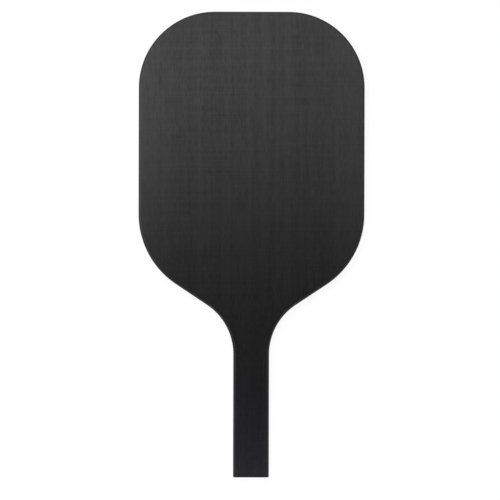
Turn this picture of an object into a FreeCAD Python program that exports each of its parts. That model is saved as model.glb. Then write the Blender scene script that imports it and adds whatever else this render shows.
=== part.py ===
"""Bare moulded pickleball paddle: a honeycomb sandwich with carbon skins that wrap round its edge.

The paddle lies on its back. X is its width, +Y runs from the handle to the top of the head, and the
front face looks up along +Z. Each piece is drawn with Y measured from the cut end of the handle and
Z from the middle of the thickness, and is then moved, so that the origin is the middle of the back
face. Lengths are millimetres.

From the front face inwards the layers are: raw carbon ply, unidirectional carbon ply, glass ply,
adhesive film, veil, honeycomb core. The back face repeats them as a mirror image. The two carbon
plies fold over the rim and meet the back pair at a resin seam half way through the thickness. A
carbon band bridges that seam from inside, and a foam rail fills the rim between band and core.
"""

import FreeCAD
import Part
import math
import os

V = FreeCAD.Vector

# Overall size
LENGTH = 400.0
HEAD_WIDTH = 194.2
THICKNESS = 16.0
HANDLE_WIDTH = 30.8

# Outline: arcs joined by straight tangent lines
TOP_CORNER_R = 65.4
SHOULDER_R = 72.5
SHOULDER_Y = 226.0  # where the straight side of the head ends
THROAT_R = 51.0
THROAT_Y = 105.5  # where the straight side of the handle ends
EDGE_R = 2.0  # rounding between a face and the rim
END_CORNER_R = 0.8  # sanded corners of the handle's cut end

# Thickness of each layer
RAW_PLY = 0.25
UD_PLY = 0.15
GLASS_PLY = 0.15
FILM = 0.10
VEIL = 0.10
BAND = 0.30

# Rim
SEAM_WIDTH = 0.6
RAIL_DEPTH = 8.0  # from the outside of the rim to the core

# Honeycomb: cell size across its flats
CELL = 8.0
CELL_WALL = 0.35

# Depth below the outer surface at which each layer starts
UD_DEPTH = RAW_PLY
WRAP_DEPTH = UD_DEPTH + UD_PLY  # the two plies that fold over the rim end here
FILM_DEPTH = WRAP_DEPTH + GLASS_PLY
VEIL_DEPTH = FILM_DEPTH + FILM
CORE_DEPTH = VEIL_DEPTH + VEIL

HALF = THICKNESS / 2
BEYOND_END = -6.0  # open-ended pieces start here and are sawn off at the end of the handle


def line(x1, y1, x2, y2, z):
    return Part.LineSegment(V(x1, y1, z), V(x2, y2, z)).toShape()


def arc(x, y, radius, start, end, z):
    """Arc about (x, y) between two angles in degrees, measured from +X towards +Y."""
    points = []
    for angle in (start, (start + end) / 2, end):
        turn = math.radians(angle)
        points.append(V(x + radius * math.cos(turn), y + radius * math.sin(turn), z))
    return Part.Arc(*points).toShape()


def outline(inset, z, y_end):
    """Face bounded by the paddle's outline, moved inwards by inset, with a square end at y_end."""
    handle_x = HANDLE_WIDTH / 2 - inset
    head_x = HEAD_WIDTH / 2 - inset
    top_y = LENGTH - inset
    corner = (HEAD_WIDTH / 2 - TOP_CORNER_R, LENGTH - TOP_CORNER_R)
    shoulder = (HEAD_WIDTH / 2 - SHOULDER_R, SHOULDER_Y)
    throat = (HANDLE_WIDTH / 2 + THROAT_R, THROAT_Y)

    # The straight between shoulder and throat touches both arcs, and its normal leans by this angle
    run_x, run_y = throat[0] - shoulder[0], throat[1] - shoulder[1]
    swing = math.acos((SHOULDER_R + THROAT_R) / math.hypot(run_x, run_y))
    lean = math.atan2(run_y, run_x) + swing
    normal_x, normal_y = math.cos(lean), math.sin(lean)
    shoulder_r, throat_r = SHOULDER_R - inset, THROAT_R + inset
    lean = math.degrees(lean)

    right = [
        line(handle_x, y_end, handle_x, THROAT_Y, z),
        arc(*throat, throat_r, 180, 180 + lean, z),
        line(
            throat[0] - throat_r * normal_x,
            throat[1] - throat_r * normal_y,
            shoulder[0] + shoulder_r * normal_x,
            shoulder[1] + shoulder_r * normal_y,
            z,
        ),
        arc(*shoulder, shoulder_r, lean, 0, z),
        line(head_x, SHOULDER_Y, head_x, corner[1], z),
        arc(*corner, TOP_CORNER_R - inset, 0, 90, z),
    ]
    left = [edge.mirror(V(0, 0, 0), V(1, 0, 0)) for edge in right]
    ends = [
        line(corner[0], top_y, -corner[0], top_y, z),
        line(-handle_x, y_end, handle_x, y_end, z),
    ]
    return Part.Face(Part.Wire(Part.__sortEdges__(right + left + ends)))


def rounded_half(inset, depth, radius):
    """Solid from the middle of the thickness to depth below the front, its edge rounded by radius."""
    z = HALF - depth
    solid = outline(inset, z, BEYOND_END).extrude(V(0, 0, -z))
    rim = []
    for edge in solid.Edges:
        box = edge.BoundBox
        on_face = abs(box.ZMin - z) < 1e-6 and abs(box.ZMax - z) < 1e-6
        if on_face and box.YMax > BEYOND_END + 1e-6:
            rim.append(edge)
    return solid.makeFillet(radius, rim)


def saw_tool():
    """What the saw and the sanding block take off the end of the handle."""
    z, wide, beyond = -THICKNESS, HANDLE_WIDTH, 3 * BEYOND_END
    half, round_x = HANDLE_WIDTH / 2, HANDLE_WIDTH / 2 - END_CORNER_R
    edges = [
        line(-wide, END_CORNER_R, -half, END_CORNER_R, z),
        arc(-round_x, END_CORNER_R, END_CORNER_R, 180, 270, z),
        line(-round_x, 0, round_x, 0, z),
        arc(round_x, END_CORNER_R, END_CORNER_R, 270, 360, z),
        line(half, END_CORNER_R, wide, END_CORNER_R, z),
        line(wide, END_CORNER_R, wide, beyond, z),
        line(wide, beyond, -wide, beyond, z),
        line(-wide, beyond, -wide, END_CORNER_R, z),
    ]
    face = Part.Face(Part.Wire(Part.__sortEdges__(edges)))
    return face.extrude(V(0, 0, 2 * THICKNESS))


def sawn(shape):
    return shape.cut(saw_tool())


def wrapped_ply(depth, thickness):
    """Front ply that lies on the face and folds over the rim as far as the seam."""
    outside = rounded_half(depth, depth, EDGE_R - depth)
    inner = depth + thickness
    inside = rounded_half(inner, inner, EDGE_R - inner)
    seam = Part.makeBox(
        2 * HEAD_WIDTH,
        2 * LENGTH,
        SEAM_WIDTH,
        V(-HEAD_WIDTH, -LENGTH / 2, -SEAM_WIDTH / 2),
    )
    return sawn(outside.cut(inside).cut(seam))


def flat_layer(inset, depth, thickness):
    """Front layer that lies flat inside the fold of the wrapped plies."""
    layer = outline(inset, HALF - depth, BEYOND_END).extrude(V(0, 0, -thickness))
    return sawn(layer)


def rim_strip(outer, inner, width):
    """Strip round the rim between two insets, centred on the seam and open at the handle's end."""
    z = -width / 2
    strip = outline(outer, z, BEYOND_END).cut(outline(inner, z, 2 * BEYOND_END))
    return sawn(strip.extrude(V(0, 0, width)))


def seam_bead():
    """Resin that closes the gap between the front and back plies."""
    return rim_strip(0, WRAP_DEPTH, SEAM_WIDTH)


def edge_band():
    """Carbon strip behind the seam, as wide as the flat part of the rim."""
    return rim_strip(WRAP_DEPTH, WRAP_DEPTH + BAND, THICKNESS - 2 * EDGE_R)


def foam_rail():
    """Foam that fills the rim from handle end to handle end, rounded to clear the folds."""
    inset = WRAP_DEPTH + BAND
    half = rounded_half(inset, VEIL_DEPTH, EDGE_R - inset)
    whole = half.fuse(half.mirror(V(0, 0, 0), V(0, 0, 1))).removeSplitter()
    core_space = outline(RAIL_DEPTH, -THICKNESS, 2 * BEYOND_END).extrude(V(0, 0, 2 * THICKNESS))
    return sawn(whole.cut(core_space))


def hexagon(x, y, z):
    """Cell opening about (x, y), with two of its flats facing along the handle."""
    radius = CELL / math.sqrt(3)
    corners = []
    for k in range(7):
        turn = math.radians(60 * k)
        corners.append(V(x + radius * math.cos(turn), y + radius * math.sin(turn), z))
    return Part.Face(Part.makePolygon(corners))


def honeycomb_core():
    """Hexagonal cells that run from skin to skin, cut to the outline inside the foam rail."""
    z = CORE_DEPTH - HALF
    sheet = outline(RAIL_DEPTH, z, 0)
    pitch = CELL + CELL_WALL
    column_step = pitch * math.sqrt(3) / 2
    columns = int(HEAD_WIDTH / 2 / column_step)
    rows = int(LENGTH / pitch) + 1
    cells = []
    for column in range(-columns, columns + 1):
        shift = pitch / 2 if column % 2 else 0
        for row in range(rows):
            cell = hexagon(column * column_step, row * pitch + shift, z)
            if sheet.distToShape(cell)[0] < CELL_WALL:
                cells.append(cell)
    webs = sheet.cut(Part.makeCompound(cells))
    largest = max(webs.Faces, key=lambda face: face.Area)
    return largest.extrude(V(0, 0, -2 * z))


def layers():
    """Every layer that lies on both faces, by name, in the place it has on the front."""
    return {
        "raw_carbon_ply": wrapped_ply(0, RAW_PLY),
        "unidirectional_ply": wrapped_ply(UD_DEPTH, UD_PLY),
        "glass_ply": flat_layer(EDGE_R, WRAP_DEPTH, GLASS_PLY),
        "adhesive_film": flat_layer(EDGE_R, FILM_DEPTH, FILM),
        "core_veil": flat_layer(RAIL_DEPTH, VEIL_DEPTH, VEIL),
    }


def paddle():
    nodes = {
        "honeycomb_core": honeycomb_core(),
        "foam_edge_rail": foam_rail(),
        "edge_band": edge_band(),
        "seam_bead": seam_bead(),
    }
    for name, shape in layers().items():
        nodes["front_" + name] = shape
        nodes["back_" + name] = shape.mirror(V(0, 0, 0), V(0, 0, 1))
    return nodes


def main():
    os.makedirs("parts", exist_ok=True)
    to_back_face = V(0, -LENGTH / 2, HALF)
    for name, shape in paddle().items():
        piece = shape.Solids[0].translated(to_back_face)
        print(name, len(shape.Solids), "solid,", round(piece.Volume / 1000, 2), "cm3")
        piece.exportStep(os.path.join("parts", name + ".step"))


main()
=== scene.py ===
"""Dresses the moulded pickleball paddle and lights it on a plain pale floor.

The paddle lies on its back. X is its width, +Y runs from the handle to the top of the head, and the
front face looks up along +Z. The origin is the middle of the back face. Lengths are metres.

The layers inside the laminate keep the shape that they come with and get their finishes here. The
two raw carbon plies and the resin line between them are modelled again, with finer edges and the
marks that moulding and sanding leave.
"""

import math

import bmesh
import bpy
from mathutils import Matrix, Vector, noise


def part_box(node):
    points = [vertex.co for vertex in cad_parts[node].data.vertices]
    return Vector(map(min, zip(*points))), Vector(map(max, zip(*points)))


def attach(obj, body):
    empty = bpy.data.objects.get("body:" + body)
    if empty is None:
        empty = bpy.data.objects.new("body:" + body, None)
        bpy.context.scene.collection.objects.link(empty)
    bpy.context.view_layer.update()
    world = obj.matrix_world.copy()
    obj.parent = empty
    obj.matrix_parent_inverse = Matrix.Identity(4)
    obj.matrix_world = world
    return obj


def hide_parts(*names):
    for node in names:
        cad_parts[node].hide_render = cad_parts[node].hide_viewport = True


bl_info = {
    "name": "Pickleball Paddle",
    "version": (1, 0, 0),
    "blender": (4, 5, 0),
    "location": "3D View > Sidebar > Paddle",
    "description": "Models the skins and seam of a moulded paddle, finishes its layers and lights it",
    "category": "Add Mesh",
}

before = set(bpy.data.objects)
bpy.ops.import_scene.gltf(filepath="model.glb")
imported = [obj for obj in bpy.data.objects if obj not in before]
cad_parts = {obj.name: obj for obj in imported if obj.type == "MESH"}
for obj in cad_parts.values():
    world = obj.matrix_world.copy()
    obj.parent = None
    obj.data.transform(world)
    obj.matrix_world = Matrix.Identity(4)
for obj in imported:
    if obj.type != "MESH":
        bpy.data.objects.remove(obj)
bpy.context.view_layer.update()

MM = 0.001
SKIN_LOW, SKIN_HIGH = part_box("front_raw_carbon_ply")
HALF_WIDTH = SKIN_HIGH.x
END_Y = SKIN_LOW.y  # the cut end of the handle
LENGTH = SKIN_HIGH.y - SKIN_LOW.y
THICKNESS = SKIN_HIGH.z
MIDDLE_Z = THICKNESS / 2
HALF_GAP = SKIN_LOW.z - MIDDLE_Z  # from the middle to the edge of either skin
WRAP_DEPTH = SKIN_HIGH.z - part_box("front_glass_ply")[1].z  # of the two plies that fold over the rim

# Faces along each stretch of the outline, and across it
SANDING_STEPS = 5
HANDLE_STEPS = 24
THROAT_STEPS = 26
SLOPE_STEPS = 8
SHOULDER_STEPS = 36
SIDE_STEPS = 22
CORNER_STEPS = 48
TOP_STEPS = 32
FILLET_STEPS = 8
RIM_STEPS = 3

SMOOTH_BELOW = math.radians(35)  # edges that turn by less than this shade smoothly
SANDING_SHIFT = 0.1  # share of an inset by which sections keep apart at the sanded corners
GRID_START = 1.2  # edge radii from the outline to the grid that fills the flat of a face

# The resin line
FLASH_FINER = 4  # points along its length for each one of a skin
SLOW_WAVE = 14 * MM  # length over which its height, width and place change slowly
QUICK_WAVE = 2.2 * MM  # length over which its height and width change quickly
LEAST_PROUD = 0.12  # share of its height that sanding leaves at the least
MOST_DRIFT = 0.12 * MM  # how far its crest strays from the middle of the seam
FLASH_SHOULDER = 0.7  # share of its height that is left half way between crest and foot
FLASH_SINK = 0.03 * MM  # depth of its feet inside the rim

# Where lengths of tape lie edge to edge or overlap under the face: the place across the width, and
# how much darker or, below 0, lighter the face is there
TAPE_LAPS = (
    (-58 * MM, 0.044),
    (-48 * MM, 0.044),
    (-28 * MM, 0.090),
    (-20 * MM, -0.110),
    (-8 * MM, -0.040),
    (6 * MM, 0.060),
    (21 * MM, -0.070),
    (37 * MM, -0.040),
    (46 * MM, 0.104),
)
LAP_WIDTH = 2.6 * MM

# Where threads of the peel ply print unevenly: the place along the paddle, and how much darker or
# lighter the face is there
THREAD_MARKS = (
    (187 * MM, 0.060),
    (168.3 * MM, -0.076),
    (157 * MM, -0.048),
    (36.8 * MM, -0.068),
)
MARK_WIDTH = 1.7 * MM

# Paler and darker stretches of the skins, among them painted highlights
THROAT_FADE = 20 * MM  # half the length over which the handle's sides turn into the head's
HANDLE_HIGHLIGHT_WIDTH = 5.5 * MM  # width of the painted highlight along each side of the handle
BORDER_START = 0.6  # share of the head's half width at which its sides begin to turn paler
WEAR_AND_SHEEN_TILT = 0.02  # how far from flat, on a scale of 1 for upright, a fillet is worn and carries the most painted highlight
RESIN_FADE = 2.2 * MM  # distance from the seam at which the resin on the rim ends
RESIN_FULL = 0.6 * MM  # distance from the seam within which the resin is thickest
PALEST = 6  # how many times as light as the carbon's own colour a worn edge with its painted highlight can be
SMOOTHEST = 0.2  # least roughness
THREAD_WANDER = 0.05 * MM  # how far the peel ply's threads stray from straight lines
BLACK = (0, 0, 0)

# A Mix node's sockets for colours, by number, because its sockets for values have the same names
MIX_FACTOR, MIX_FIRST, MIX_SECOND = 0, 6, 7
MIX_RESULT = 2

# The floor and the wall round it
FLOOR_RINGS = (0.6, 1.5, 4.5)  # radii of the floor's rings of points
FLOOR_STEPS = 96  # points in each ring
WALL_CURVE = 1.2  # radius of the curve from the floor to the wall
WALL_CURVE_STEPS = 16
WALL_TOP = 2.4
OPENING_INSET = 1.1  # edge radii from the paddle's outline to the opening under its back

# Each lamp's place, the point that it is turned to, its width and depth, and its colour
LAMPS = {
    "key": ((0, 0.36, 1.18), (0, 0.05, THICKNESS), (1.2, 0.6), (1, 1, 1)),
    "side": ((-0.25, 0.33, 0.84), (0, 0.05, THICKNESS), (1.1, 0.5), (1, 1, 1)),
    "fill": ((0, -0.48, 0.52), (0, 0.05, THICKNESS), (0.4, 0.4), (0.87, 0.87, 1)),
    "under": ((0, 0.36, -1.18), (0, 0.05, 0), (1.2, 0.6), (1, 1, 1)),
}

# The camera looks straight down from a little left of the paddle's middle and nearer the handle
CAMERA_OFF_MIDDLE = (-1.2 * MM, -4.8 * MM)
CAMERA_ROLL = math.radians(0.124)
FOCAL_LENGTH = 100  # in millimetres, as Blender has it
SENSOR_WIDTH = 36  # in millimetres


class ShellSettings(bpy.types.PropertyGroup):
    """Outline and edges of the moulded shell, with distances measured from the cut end."""

    handle_width: bpy.props.FloatProperty(
        name="Handle width",
        description="Width of the bare handle",
        default=30.8 * MM,
        unit="LENGTH",
    )
    corner_radius: bpy.props.FloatProperty(
        name="Top corner radius",
        description="Radius of the two corners at the top of the head",
        default=65.4 * MM,
        unit="LENGTH",
    )
    shoulder_radius: bpy.props.FloatProperty(
        name="Shoulder radius",
        description="Radius of the two lower corners of the head",
        default=72.5 * MM,
        unit="LENGTH",
    )
    shoulder_reach: bpy.props.FloatProperty(
        name="Shoulder reach",
        description="Distance from the cut end to where the straight side of the head ends",
        default=226 * MM,
        unit="LENGTH",
    )
    throat_radius: bpy.props.FloatProperty(
        name="Throat radius",
        description="Radius of the hollow curve between handle and head",
        default=51 * MM,
        unit="LENGTH",
    )
    throat_reach: bpy.props.FloatProperty(
        name="Throat reach",
        description="Distance from the cut end to where the straight side of the handle ends",
        default=105.5 * MM,
        unit="LENGTH",
    )
    edge_radius: bpy.props.FloatProperty(
        name="Edge radius",
        description="Rounding between a face and the rim",
        default=2 * MM,
        unit="LENGTH",
    )
    end_radius: bpy.props.FloatProperty(
        name="End corner radius",
        description="Sanded corners of the cut end",
        default=0.8 * MM,
        unit="LENGTH",
    )
    ply: bpy.props.FloatProperty(
        name="Ply thickness",
        description="Thickness of the raw carbon ply",
        default=0.25 * MM,
        unit="LENGTH",
    )


class CarbonSettings(bpy.types.PropertyGroup):
    """Finish of the raw carbon skins."""

    colour: bpy.props.FloatVectorProperty(
        name="Carbon colour",
        description="Colour of the bare carbon face",
        default=(0.0085, 0.0085, 0.0086),
        size=3,
        subtype="COLOR",
    )
    roughness: bpy.props.FloatProperty(
        name="Roughness",
        description="Roughness that the peel ply leaves on the face",
        default=0.29,
        subtype="FACTOR",
    )
    gloss: bpy.props.FloatProperty(
        name="Gloss",
        description="Strength of the reflection from the fibres",
        default=0.066,
        subtype="FACTOR",
    )
    resin_film: bpy.props.FloatProperty(
        name="Resin film",
        description="How much of the face the thin film of cured resin covers",
        default=0.20,
        subtype="FACTOR",
    )
    streaks: bpy.props.FloatProperty(
        name="Streaks",
        description="How much the tone changes from strand to strand",
        default=0.26,
        subtype="FACTOR",
    )
    weave_pitch: bpy.props.FloatProperty(
        name="Weave pitch",
        description="Distance between the threads that the peel ply prints on the face",
        default=0.55 * MM,
        unit="LENGTH",
    )
    weave_height: bpy.props.FloatProperty(
        name="Weave height",
        description="Height of that print",
        default=0.008 * MM,
        unit="LENGTH",
    )


class SeamSettings(bpy.types.PropertyGroup):
    """The line of resin where the two skins meet."""

    flash_width: bpy.props.FloatProperty(
        name="Flash width",
        description="Width of the resin that squeezed out along the seam",
        default=1.3 * MM,
        unit="LENGTH",
    )
    flash_height: bpy.props.FloatProperty(
        name="Flash height",
        description="How far that resin stands proud of the rim after sanding",
        default=0.14 * MM,
        unit="LENGTH",
    )
    colour: bpy.props.FloatVectorProperty(
        name="Resin colour",
        description="Colour of the cured resin",
        default=(0.014, 0.014, 0.015),
        size=3,
        subtype="COLOR",
    )


class LayerSettings(bpy.types.PropertyGroup):
    """Colours of the layers that show only at the cut end."""

    tape: bpy.props.FloatVectorProperty(
        name="Carbon tape",
        description="Unidirectional carbon plies and the band behind the seam",
        default=(0.016, 0.016, 0.018),
        size=3,
        subtype="COLOR",
    )
    glass: bpy.props.FloatVectorProperty(
        name="Glass ply",
        description="Glass cloth in resin",
        default=(0.42, 0.47, 0.33),
        size=3,
        subtype="COLOR",
    )
    film: bpy.props.FloatVectorProperty(
        name="Adhesive film",
        description="Cured adhesive between skin and core",
        default=(0.55, 0.38, 0.14),
        size=3,
        subtype="COLOR",
    )
    veil: bpy.props.FloatVectorProperty(
        name="Veil",
        description="Fleece that lies on the honeycomb's open cells",
        default=(0.72, 0.72, 0.69),
        size=3,
        subtype="COLOR",
    )
    honeycomb: bpy.props.FloatVectorProperty(
        name="Honeycomb",
        description="Polypropylene cell walls",
        default=(0.68, 0.70, 0.69),
        size=3,
        subtype="COLOR",
    )
    foam: bpy.props.FloatVectorProperty(
        name="Edge foam",
        description="Expanded foam in the rim",
        default=(0.58, 0.52, 0.40),
        size=3,
        subtype="COLOR",
    )


class StageSettings(bpy.types.PropertyGroup):
    """Floor, lamps and camera."""

    floor: bpy.props.FloatVectorProperty(
        name="Floor colour",
        description="Colour of the floor and of the wall that it curves up into",
        default=(0.86, 0.86, 0.86),
        size=3,
        subtype="COLOR",
    )
    sky: bpy.props.FloatVectorProperty(
        name="Room light",
        description="Light that comes from the room above the floor",
        default=(0.019, 0.019, 0.026),
        size=3,
        subtype="COLOR",
    )
    floor_glow: bpy.props.FloatProperty(
        name="Floor glow",
        description="Brightness that the camera and reflections see in the floor",
        default=1.1,
    )
    floor_evenness: bpy.props.FloatProperty(
        name="Floor evenness",
        description="Share of that glow in what the camera sees; the rest is the lit floor",
        default=0.8,
        subtype="FACTOR",
    )
    key_power: bpy.props.FloatProperty(
        name="Key power",
        description="Power of the wide soft lamp over the top of the head in watts",
        default=6.35,
    )
    side_power: bpy.props.FloatProperty(
        name="Side power",
        description="Power of the soft lamp to the left of the head in watts",
        default=3.5,
    )
    fill_power: bpy.props.FloatProperty(
        name="Fill power",
        description="Power of the small soft lamp beyond the end of the handle in watts",
        default=1.86,
    )
    under_power: bpy.props.FloatProperty(
        name="Under power",
        description="Power of the lamp below the floor, which lights only the back face, in watts",
        default=14,
    )
    camera_height: bpy.props.FloatProperty(
        name="Camera height",
        description="Height of the camera above the front face",
        default=1.192,
        unit="LENGTH",
    )


def arc(centre, radius, start, end, steps):
    """Points on an arc, without its first one, which the stretch before it ends on."""
    points = []
    for step in range(1, steps + 1):
        turn = start + (end - start) * step / steps
        points.append((centre[0] + radius * math.cos(turn), centre[1] + radius * math.sin(turn)))
    return points


def straight(start, end, steps):
    """Points on a straight line, without its first one."""
    points = []
    for step in range(1, steps + 1):
        points.append(tuple(a + (b - a) * step / steps for a, b in zip(start, end)))
    return points


def right_side(shell, inset, finer):
    """Points up the right of the outline moved inwards by inset, from the cut end to the top edge."""
    handle_x = shell.handle_width / 2
    throat = (handle_x + shell.throat_radius, END_Y + shell.throat_reach)
    shoulder = (HALF_WIDTH - shell.shoulder_radius, END_Y + shell.shoulder_reach)
    corner = (HALF_WIDTH - shell.corner_radius, END_Y + LENGTH - shell.corner_radius)

    # The slope between shoulder and throat touches both arcs, and its normal leans by this angle
    run_x, run_y = throat[0] - shoulder[0], throat[1] - shoulder[1]
    reach = shell.shoulder_radius + shell.throat_radius
    lean = math.atan2(run_y, run_x) + math.acos(reach / math.hypot(run_x, run_y))
    shoulder_r = shell.shoulder_radius - inset

    points = []
    for step in range(SANDING_STEPS + 1):
        turn = math.pi / 2 * step / SANDING_STEPS
        sanded_x = handle_x - shell.end_radius * (1 - math.sin(turn)) - inset * SANDING_SHIFT
        y = END_Y + shell.end_radius * (1 - math.cos(turn))
        points.append((min(handle_x - inset, sanded_x), y))
    points += straight(points[-1], (handle_x - inset, throat[1]), HANDLE_STEPS * finer)
    points += arc(throat, shell.throat_radius + inset, math.pi, math.pi + lean, THROAT_STEPS * finer)
    slope_end = (shoulder[0] + shoulder_r * math.cos(lean), shoulder[1] + shoulder_r * math.sin(lean))
    points += straight(points[-1], slope_end, SLOPE_STEPS * finer)
    points += arc(shoulder, shoulder_r, lean, 0, SHOULDER_STEPS * finer)
    points += straight(points[-1], (HALF_WIDTH - inset, corner[1]), SIDE_STEPS * finer)
    points += arc(corner, shell.corner_radius - inset, 0, math.pi / 2, CORNER_STEPS * finer)
    return points


def outline(shell, inset, finer=1):
    """Points from the right of the cut end, over the top of the head, to the left of the cut end."""
    right = right_side(shell, inset, finer)
    left = [(-x, y) for x, y in reversed(right)]
    top = straight(right[-1], left[0], TOP_STEPS * finer)[:-1]
    return right + top + left


def strip(mesh, edge, other):
    """Faces between two rows of points."""
    for near, far, next_far, next_near in zip(edge, other, other[1:], edge[1:]):
        mesh.faces.new((near, far, next_far, next_near))


def closed(ring):
    """A ring of points with its first one repeated at its end."""
    return ring + ring[:1]


def ply_surface(mesh, shell, depth, side):
    """The face and rim of a skin at a depth below its outside. Gives its cut edge and seam edge.

    side is 1 for the front skin, which looks up, and -1 for the back one.
    """
    radius = shell.edge_radius
    bend = radius - depth
    section = [(radius * GRID_START, depth)]
    for step in range(FILLET_STEPS + 1):
        turn = math.pi / 2 * step / FILLET_STEPS
        section.append((radius - bend * math.sin(turn), radius - bend * math.cos(turn)))
    section += straight((depth, radius), (depth, THICKNESS / 2 - HALF_GAP), RIM_STEPS)

    rings = []
    for inset, fall in section:
        z = MIDDLE_Z + side * (THICKNESS / 2 - fall)
        rings.append([mesh.verts.new((x, y, z)) for x, y in outline(shell, inset)])
    for ring, following in zip(rings, rings[1:]):
        strip(mesh, ring, following)

    # The flat of the face is a grid whose rows join the right side to the left
    edge = rings[0]
    last_row = (len(edge) - 1 - TOP_STEPS) // 2
    rows = []
    for row in range(last_row):
        right, left = edge[row], edge[-1 - row]
        middle = []
        for column in range(1, TOP_STEPS):
            middle.append(mesh.verts.new(right.co.lerp(left.co, column / TOP_STEPS)))
        rows.append([right, *middle, left])
    rows.append(edge[last_row : last_row + TOP_STEPS + 1])
    for row, following in zip(rows, rows[1:]):
        strip(mesh, row, following)

    up_right = [ring[0] for ring in reversed(rings)]
    down_left = [ring[-1] for ring in rings]
    return up_right + rows[0][1:-1] + down_left, rings[-1]


def skin(shell, side):
    """Closed shell of one raw carbon ply."""
    mesh = bmesh.new()
    cut_edge, seam_edge = ply_surface(mesh, shell, 0, side)
    inner_cut_edge, inner_seam_edge = ply_surface(mesh, shell, shell.ply, side)
    strip(mesh, cut_edge, inner_cut_edge)
    strip(mesh, seam_edge, inner_seam_edge)
    return mesh


def flash_profile(x, y, seam):
    """Section of the resin line at a point of the rim, as distances out of the rim and up it."""
    slow = noise.noise(Vector((x, y, 0)) / SLOW_WAVE)
    quick = noise.noise(Vector((x, y, 0.5)) / QUICK_WAVE)
    proud = seam.flash_height * max(LEAST_PROUD, 0.6 + 0.55 * slow + 0.35 * quick)
    half = seam.flash_width / 2 * (1 + 0.35 * slow - 0.25 * quick)
    drift = MOST_DRIFT * slow
    return [
        (-WRAP_DEPTH, -HALF_GAP),
        (-FLASH_SINK, -HALF_GAP),
        (-FLASH_SINK, drift - half),
        (proud * FLASH_SHOULDER, drift - half / 2),
        (proud, drift),
        (proud * FLASH_SHOULDER, drift + half / 2),
        (-FLASH_SINK, drift + half),
        (-FLASH_SINK, HALF_GAP),
        (-WRAP_DEPTH, HALF_GAP),
    ]


def resin_line(shell, seam):
    """Resin that fills the seam and stands a little proud of it, sanded back unevenly."""
    mesh = bmesh.new()
    line = outline(shell, 0, FLASH_FINER)
    beside = outline(shell, -MM, FLASH_FINER)
    sections = []
    for (x, y), (beside_x, beside_y) in zip(line, beside):
        out_x, out_y = (beside_x - x) / MM, (beside_y - y) / MM
        section = []
        for out, up in flash_profile(x, y, seam):
            section.append(mesh.verts.new((x + out_x * out, y + out_y * out, MIDDLE_Z + up)))
        sections.append(section)
    for section, following in zip(sections, sections[1:]):
        strip(mesh, closed(section), closed(following))
    mesh.faces.new(sections[0])
    mesh.faces.new(sections[-1])
    return mesh


def object_of(mesh, name, material):
    """A new object in the scene, made of a mesh under construction."""
    bmesh.ops.recalc_face_normals(mesh, faces=mesh.faces)
    data = bpy.data.meshes.new(name)
    mesh.to_mesh(data)
    mesh.free()
    data.shade_smooth()
    data.set_sharp_from_angle(angle=SMOOTH_BELOW)
    data.materials.append(material)
    made = bpy.data.objects.new(name, data)
    bpy.context.scene.collection.objects.link(made)
    return made


def finish_piece(mesh, name, material, node):
    """Makes a piece of the paddle, which stands for this node of the frame."""
    piece = object_of(mesh, name, material)
    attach(piece, "root")
    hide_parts(node)


def finish_nodes(material, *names):
    """Gives these nodes of the frame a finish in place of their plain one."""
    for name in names:
        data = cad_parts[name].data
        data.materials.clear()
        data.materials.append(material)


class Signal:
    """A value in a material's node tree. Arithmetic on it adds Math nodes."""

    def __init__(self, tree, socket=None):
        self.tree = tree
        self.socket = socket

    def node(self, kind, settings=None, sockets=None, out=0):
        """Adds a node, makes its settings, then fills its sockets, and gives one of its outputs."""
        made = self.tree.nodes.new(kind)
        for name, value in (settings or {}).items():
            setattr(made, name, value)
        for key, value in (sockets or {}).items():
            if isinstance(value, Signal):
                self.tree.links.new(value.socket, made.inputs[key])
            else:
                made.inputs[key].default_value = value
        return Signal(self.tree, made.outputs[out] if made.outputs else None)

    def maths(self, operation, *values):
        return self.node("ShaderNodeMath", {"operation": operation}, dict(enumerate(values)))

    def __add__(self, other):
        return self.maths("ADD", self, other)

    def __sub__(self, other):
        return self.maths("SUBTRACT", self, other)

    def __mul__(self, other):
        return self.maths("MULTIPLY", self, other)

    def __truediv__(self, other):
        return self.maths("DIVIDE", self, other)

    def __rsub__(self, other):
        return self.maths("SUBTRACT", other, self)

    __radd__ = __add__
    __rmul__ = __mul__

    def __abs__(self):
        return self.maths("ABSOLUTE", self)

    def sine(self):
        return self.maths("SINE", self)

    def larger(self, other):
        return self.maths("MAXIMUM", self, other)

    def clamped(self):
        """This value, but 0 where it is less and 1 where it is more."""
        return self.node("ShaderNodeClamp", sockets={"Value": self})

    def rise(self, low, high):
        """0 below low and 1 above high, with a smooth change between them; low may be the larger."""
        sockets = {"Value": self, "From Min": low, "From Max": high}
        return self.node("ShaderNodeMapRange", {"interpolation_type": "SMOOTHSTEP"}, sockets)

    def between(self, dark, light):
        """The colour between two colours that this value picks."""
        sockets = {MIX_FACTOR: self, MIX_FIRST: (*dark, 1), MIX_SECOND: (*light, 1)}
        return self.node("ShaderNodeMix", {"data_type": "RGBA"}, sockets, MIX_RESULT)

    def parts(self):
        """The three numbers of a vector."""
        first = self.node("ShaderNodeSeparateXYZ", sockets={"Vector": self})
        return [Signal(self.tree, number) for number in first.socket.node.outputs]


def new_finish(name):
    """A new material with no nodes, and a Signal that starts its tree."""
    material = bpy.data.materials.new(name)
    material.use_nodes = True
    material.node_tree.nodes.clear()
    return material, Signal(material.node_tree)


def surface(start, sockets):
    """Makes the material's shader, with these sockets filled."""
    shader = start.node("ShaderNodeBsdfPrincipled", sockets=sockets)
    start.node("ShaderNodeOutputMaterial", sockets={"Surface": shader})


def place(start):
    """Where a point is, in metres, as three numbers."""
    return start.node("ShaderNodeTexCoord", out="Object").parts()


def grain(x, y, width, length, seed, detail=2.0):
    """Noise about 0 and seldom beyond 1, in grains of this width along x and this length along y."""
    point = x.node("ShaderNodeCombineXYZ", sockets={"X": x / width, "Y": y / length, "Z": seed})
    sockets = {"Vector": point, "Scale": 1.0, "Detail": detail}
    return (x.node("ShaderNodeTexNoise", sockets=sockets) - 0.5) * 4


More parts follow.
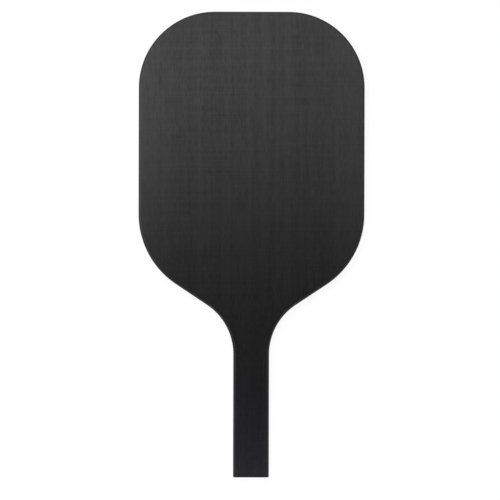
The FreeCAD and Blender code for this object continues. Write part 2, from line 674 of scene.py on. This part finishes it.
def weave_of(x, y, pitch):
    """Plain weave from -1 to 1, whose threads lie this far apart."""
    thread = 2 * math.pi / pitch
    return (x * thread).sine() * (y * thread).sine()


def bumped(height):
    """The surface's normal, tilted by a height in metres."""
    return height.node("ShaderNodeBump", sockets={"Height": height, "Distance": 1.0})


def marked(tone, position, marks, width):
    """The tone with a soft band at each mark, which makes it darker or, below 0, lighter."""
    for middle, darker in marks:
        tone = tone - (1 - abs(position - middle) / width).clamped() * darker
    return tone


def shade(colour, factor):
    return tuple(channel * factor for channel in colour)


def raw_carbon(name, shell, carbon, patch):
    """Peel-ply finish over carbon fibres that run along the paddle and fold over its rim.

    patch shifts the pattern, so that the two skins aren't cut from one and the same piece of cloth.
    """
    material, start = new_finish(name)
    x, y, z = place(start)
    tilt_x, tilt_y, tilt_z = start.node("ShaderNodeTexCoord", out="Normal").parts()
    flat = abs(tilt_z)

    # Where the point lies on the cloth with its folds over the rim opened out
    from_middle = abs(z - MIDDLE_Z)
    folded = THICKNESS / 2 - from_middle
    across = x + tilt_x * folded
    along = y + tilt_y * folded

    # Fibres and bundles of fibres, slow changes of resin, and the cross threads of the peel ply
    hair = grain(across, along, 1.1 * MM, 6 * MM, seed=patch, detail=1)
    strand = grain(across, along, 2.4 * MM, 26 * MM, seed=patch + 7)
    tow = grain(across, along, 7 * MM, 900 * MM, seed=patch + 37, detail=3)
    cloud = grain(across, along, 30 * MM, 42 * MM, seed=patch + 19)
    weft = grain(across, along, 90 * MM, 1.8 * MM, seed=patch + 23)
    tone = hair * 0.75 + strand * 0.6 + tow * 0.65 + cloud * 0.08 + weft * 0.45
    tone = marked(tone * carbon.streaks, across, TAPE_LAPS, LAP_WIDTH)
    tone = marked(tone, along, THREAD_MARKS, MARK_WIDTH)

    # Paler fillets and handle sides are painted highlights, the fillets also standing for sanding wear;
    # the head turns paler towards its sides, and resin bleeds from the seam on to the rim
    half_handle = shell.handle_width / 2
    throat_y = END_Y + shell.throat_reach
    handle = along.rise(throat_y + THROAT_FADE, throat_y - THROAT_FADE)
    # Painted highlight: a paler band along each side of the handle
    handle_edge_highlight = abs(across).rise(half_handle - HANDLE_HIGHLIGHT_WIDTH, half_handle) * handle
    border = (abs(across) / HALF_WIDTH).rise(BORDER_START, 1)
    # Painted highlight, with some sanding wear, on the fillets next to the flat faces
    wear_and_sheen = (1 - flat).rise(0, WEAR_AND_SHEEN_TILT) * flat * flat * flat
    resin = from_middle.rise(RESIN_FADE, RESIN_FULL) * (1 - flat)
    tone = tone + border * 0.28 + handle_edge_highlight * 0.4 + wear_and_sheen * 2.5 - resin * 0.2

    roughness = carbon.roughness - strand * 0.02 - tow * 0.012 - wear_and_sheen * 0.05 - resin * 0.1
    weave_x = across + strand * THREAD_WANDER
    weave_y = along + weft * THREAD_WANDER
    weave = weave_of(weave_x, weave_y, carbon.weave_pitch)
    fibres = hair * (0.0015 * MM) + strand * (0.002 * MM)
    surface(
        start,
        {
            "Base Color": ((tone + 1) / PALEST).clamped().between(BLACK, shade(carbon.colour, PALEST)),
            "Roughness": roughness.larger(SMOOTHEST),
            "Specular IOR Level": carbon.gloss,
            "Coat Weight": ((tone + 1) * carbon.resin_film).clamped(),
            "Coat Roughness": carbon.roughness,
            "Normal": bumped(weave * carbon.weave_height * (1 - resin) + fibres),
        },
    )
    return material


def seam_resin(seam):
    """Cured resin, sanded along the rim and glossy where the paper missed it."""
    material, start = new_finish("seam_resin")
    x, y, z = place(start)
    patchy = grain(x, y, 3 * MM, 3 * MM, seed=3)
    scratch = grain(z, x + y, 0.06 * MM, 6 * MM, seed=5)
    tone = (0.5 + patchy * 0.12 + scratch * 0.1).clamped()
    surface(
        start,
        {
            "Base Color": tone.between(shade(seam.colour, 0.5), shade(seam.colour, 1.5)),
            "Roughness": 0.36 + patchy * 0.1 + scratch * 0.05,
            "Normal": bumped(patchy * (0.02 * MM) + scratch * (0.003 * MM)),
        },
    )
    return material


def carbon_tape(layers):
    """Fine straight fibres in resin."""
    material, start = new_finish("carbon_tape")
    x, y, z = place(start)
    fibre = grain(x + z, y, 0.09 * MM, 20 * MM, seed=41)
    bundle = grain(x + z, y, 2 * MM, 200 * MM, seed=43)
    tone = (0.5 + fibre * 0.2 + bundle * 0.12).clamped()
    surface(
        start,
        {
            "Base Color": tone.between(shade(layers.tape, 0.4), shade(layers.tape, 1.8)),
            "Roughness": 0.34 + bundle * 0.05,
            "Normal": bumped(fibre * (0.004 * MM)),
        },
    )
    return material


def glass_cloth(layers):
    """Plain-woven glass cloth, clear enough with resin to look green at its edge."""
    material, start = new_finish("glass_cloth")
    x, y, _ = place(start)
    weave = weave_of(x, y, 1.4 * MM)
    milky = grain(x, y, 9 * MM, 9 * MM, seed=47)
    tone = (0.5 + weave * 0.25 + milky * 0.2).clamped()
    surface(
        start,
        {
            "Base Color": tone.between(shade(layers.glass, 0.75), shade(layers.glass, 1.2)),
            "Roughness": 0.32 + weave * 0.05,
            "Normal": bumped(weave * (0.02 * MM)),
        },
    )
    return material


def adhesive_film(layers):
    """Amber film with small bubbles."""
    material, start = new_finish("adhesive_film")
    x, y, _ = place(start)
    bubble = grain(x, y, 0.7 * MM, 0.7 * MM, seed=53).rise(0.7, 1.2)
    flow = grain(x, y, 12 * MM, 12 * MM, seed=59)
    tone = (0.5 + flow * 0.25 - bubble * 0.3).clamped()
    surface(
        start,
        {
            "Base Color": tone.between(shade(layers.film, 0.7), shade(layers.film, 1.25)),
            "Roughness": 0.22 + bubble * 0.2,
            "Normal": bumped(bubble * (-0.02 * MM)),
        },
    )
    return material


def fleece(layers):
    """Short fibres laid every way."""
    material, start = new_finish("fleece_veil")
    x, y, _ = place(start)
    one_way = grain(x + y, x - y, 0.15 * MM, 3 * MM, seed=61)
    other_way = grain(x - y * 0.6, y + x * 0.6, 0.15 * MM, 3 * MM, seed=67)
    fibres = one_way.larger(other_way)
    surface(
        start,
        {
            "Base Color": fibres.rise(-0.6, 1).between(shade(layers.veil, 0.7), shade(layers.veil, 1.1)),
            "Roughness": 0.85 - fibres * 0.05,
            "Normal": bumped(fibres * (0.03 * MM)),
        },
    )
    return material


def cell_walls(layers):
    """Milky polypropylene with lines drawn through the thickness."""
    material, start = new_finish("cell_walls")
    x, y, z = place(start)
    drawn = grain(x + y, z, 0.25 * MM, 12 * MM, seed=71)
    milky = grain(x - y, z, 5 * MM, 4 * MM, seed=73)
    tone = (0.5 + drawn * 0.12 + milky * 0.2).clamped()
    surface(
        start,
        {
            "Base Color": tone.between(shade(layers.honeycomb, 0.8), shade(layers.honeycomb, 1.12)),
            "Roughness": 0.38 + drawn * 0.06,
            "Subsurface Weight": 0.15,
            "Subsurface Scale": 0.5 * MM,
            "Normal": bumped(drawn * (0.006 * MM)),
        },
    )
    return material


def edge_foam(layers):
    """Closed-cell foam, cut by the saw so that its cells show as pits."""
    material, start = new_finish("edge_foam")
    where = start.node("ShaderNodeTexCoord", out="Object")
    sockets = {"Vector": where, "Scale": 1 / (0.45 * MM), "Randomness": 0.9}
    pit = start.node("ShaderNodeTexVoronoi", sockets=sockets).rise(0.15, 0.6)
    x, _, z = where.parts()
    stain = grain(x, z, 6 * MM, 3 * MM, seed=79)
    # Painted shade: the colour darkens towards the middle of each pit
    tone = (0.15 + pit * 0.75 + stain * 0.12).clamped()
    surface(
        start,
        {
            "Base Color": tone.between(shade(layers.foam, 0.5), shade(layers.foam, 1.15)),
            "Roughness": 0.9 - pit * 0.1,
            "Normal": bumped(pit * (0.12 * MM)),
        },
    )
    return material


class PADDLE_OT_skins(bpy.types.Operator):
    """Model the front and back skins in raw carbon"""

    bl_idname = "paddle.skins"
    bl_label = "Raw Carbon Skins"

    def execute(self, context):
        shell = context.scene.paddle_shell
        carbon = context.scene.paddle_carbon
        for name, side, patch in (("front", 1, 0.0), ("back", -1, 101.0)):
            material = raw_carbon(name + "_raw_carbon", shell, carbon, patch)
            mesh = skin(shell, side)
            finish_piece(mesh, name + "_skin", material, name + "_raw_carbon_ply")
        return {"FINISHED"}


class PADDLE_OT_seam(bpy.types.Operator):
    """Model the resin line where the skins meet"""

    bl_idname = "paddle.seam"
    bl_label = "Resin Seam"

    def execute(self, context):
        seam = context.scene.paddle_seam
        mesh = resin_line(context.scene.paddle_shell, seam)
        finish_piece(mesh, "seam_flash", seam_resin(seam), "seam_bead")
        return {"FINISHED"}


class PADDLE_OT_plies(bpy.types.Operator):
    """Finish the thin layers under the skins"""

    bl_idname = "paddle.plies"
    bl_label = "Inner Plies"

    def execute(self, context):
        layers = context.scene.paddle_layers
        finishes = {
            "unidirectional_ply": carbon_tape(layers),
            "glass_ply": glass_cloth(layers),
            "adhesive_film": adhesive_film(layers),
            "core_veil": fleece(layers),
        }
        for name, material in finishes.items():
            finish_nodes(material, "front_" + name, "back_" + name)
        finish_nodes(finishes["unidirectional_ply"], "edge_band")
        return {"FINISHED"}


class PADDLE_OT_core(bpy.types.Operator):
    """Finish the honeycomb core and the foam rail round it"""

    bl_idname = "paddle.core"
    bl_label = "Core and Foam"

    def execute(self, context):
        layers = context.scene.paddle_layers
        finish_nodes(cell_walls(layers), "honeycomb_core")
        finish_nodes(edge_foam(layers), "foam_edge_rail")
        return {"FINISHED"}


def pale_paper(stage):
    """White paper that the camera and reflections see as nearly evenly lit, and that keeps shadows."""
    material, start = new_finish("pale_paper")
    x, y, _ = place(start)
    fibre = grain(x, y, 8 * MM, 8 * MM, seed=83)
    tone = (0.5 + fibre * 0.2).clamped()
    paper = {
        "Base Color": tone.between(shade(stage.floor, 0.99), stage.floor),
        "Roughness": 1.0,
        "Specular IOR Level": 0.0,
    }
    glow = {"Color": (1, 1, 1, 1), "Strength": stage.floor_glow}
    seen = start.node("ShaderNodeLightPath", out="Is Camera Ray")
    for ray in ("Is Glossy Ray", "Is Transmission Ray"):
        seen = seen.larger(start.node("ShaderNodeLightPath", out=ray))
    shaders = {
        0: seen * stage.floor_evenness,
        1: start.node("ShaderNodeBsdfPrincipled", sockets=paper),
        2: start.node("ShaderNodeEmission", sockets=glow),
    }
    mixed = start.node("ShaderNodeMixShader", sockets=shaders)
    start.node("ShaderNodeOutputMaterial", sockets={"Surface": mixed})
    return material


def backdrop(stage, shell):
    """Round floor that curves up into a low wall, open where the paddle's back covers it.

    The opening stays inside the flat part of the back, which shows through it from below.
    """
    profile = [(radius, 0) for radius in FLOOR_RINGS]
    floor_r = FLOOR_RINGS[-1]
    profile += arc((floor_r, WALL_CURVE), WALL_CURVE, -math.pi / 2, 0, WALL_CURVE_STEPS)
    profile.append((floor_r + WALL_CURVE, WALL_TOP))
    mesh = bmesh.new()
    rings = []
    for radius, z in profile:
        ring = []
        for step in range(FLOOR_STEPS):
            turn = 2 * math.pi * step / FLOOR_STEPS
            ring.append(mesh.verts.new((radius * math.cos(turn), radius * math.sin(turn), z)))
        rings.append(ring)
    for ring, following in zip(rings, rings[1:]):
        strip(mesh, closed(ring), closed(following))

    inset = shell.edge_radius * OPENING_INSET
    opening = closed([mesh.verts.new((x, y, 0)) for x, y in outline(shell, inset)])
    middle = closed(rings[0])
    around = [mesh.edges.new(pair) for pair in zip(opening, opening[1:])]
    around += [mesh.edges.get(pair) for pair in zip(middle, middle[1:])]
    bmesh.ops.triangle_fill(mesh, use_beauty=True, edges=around)
    object_of(mesh, "backdrop", pale_paper(stage))


def soft_lamp(name, location, aim, size, colour, power):
    """Rectangular lamp turned towards a point."""
    data = bpy.data.lights.new(name, "AREA")
    data.shape = "RECTANGLE"
    data.size, data.size_y = size
    data.energy = power
    data.color = colour
    lamp = bpy.data.objects.new(name, data)
    lamp.location = location
    lamp.rotation_euler = (Vector(aim) - Vector(location)).to_track_quat("-Z", "Y").to_euler()
    lamp.visible_camera = False
    bpy.context.scene.collection.objects.link(lamp)


def camera_above(height):
    """Camera that looks straight down on the front face from this height above it."""
    data = bpy.data.cameras.new("camera")
    data.lens = FOCAL_LENGTH
    data.sensor_width = SENSOR_WIDTH
    camera = bpy.data.objects.new("camera", data)
    off_x, off_y = CAMERA_OFF_MIDDLE
    camera.location = (off_x, END_Y + LENGTH / 2 + off_y, THICKNESS + height)
    camera.rotation_euler = (0, 0, CAMERA_ROLL)
    bpy.context.scene.collection.objects.link(camera)
    return camera


class PADDLE_OT_stage(bpy.types.Operator):
    """Make the floor, the lamps and the camera"""

    bl_idname = "paddle.stage"
    bl_label = "Studio"

    def execute(self, context):
        scene = context.scene
        stage = scene.paddle_stage
        backdrop(stage, scene.paddle_shell)

        scene.world = bpy.data.worlds.new("room")
        scene.world.use_nodes = True
        scene.world.node_tree.nodes["Background"].inputs["Color"].default_value = (*stage.sky, 1)

        for name, (location, aim, size, colour) in LAMPS.items():
            soft_lamp(name, location, aim, size, colour, getattr(stage, name + "_power"))

        scene.camera = camera_above(stage.camera_height)
        scene.view_settings.view_transform = "Standard"
        return {"FINISHED"}


class PADDLE_PT_panel(bpy.types.Panel):
    """Sizes, colours and steps of the paddle"""

    bl_idname = "PADDLE_PT_panel"
    bl_label = "Pickleball Paddle"
    bl_space_type = "VIEW_3D"
    bl_region_type = "UI"
    bl_category = "Paddle"

    def draw(self, context):
        for group, settings in SETTINGS.items():
            box = self.layout.box()
            box.label(text=settings.__doc__)
            for name in settings.__annotations__:
                box.prop(getattr(context.scene, group), name)
        for operator in OPERATORS:
            self.layout.operator(operator.bl_idname)


SETTINGS = {
    "paddle_shell": ShellSettings,
    "paddle_carbon": CarbonSettings,
    "paddle_seam": SeamSettings,
    "paddle_layers": LayerSettings,
    "paddle_stage": StageSettings,
}
OPERATORS = (
    PADDLE_OT_skins,
    PADDLE_OT_seam,
    PADDLE_OT_plies,
    PADDLE_OT_core,
    PADDLE_OT_stage,
)


def register():
    for name, settings in SETTINGS.items():
        bpy.utils.register_class(settings)
        setattr(bpy.types.Scene, name, bpy.props.PointerProperty(type=settings))
    for operator in OPERATORS:
        bpy.utils.register_class(operator)
    bpy.utils.register_class(PADDLE_PT_panel)


def unregister():
    bpy.utils.unregister_class(PADDLE_PT_panel)
    for operator in reversed(OPERATORS):
        bpy.utils.unregister_class(operator)
    for name, settings in SETTINGS.items():
        delattr(bpy.types.Scene, name)
        bpy.utils.unregister_class(settings)


def main():
    register()
    bpy.ops.paddle.skins()
    bpy.ops.paddle.seam()
    bpy.ops.paddle.plies()
    bpy.ops.paddle.core()
    bpy.ops.paddle.stage()


if __name__ == "__main__":
    main()
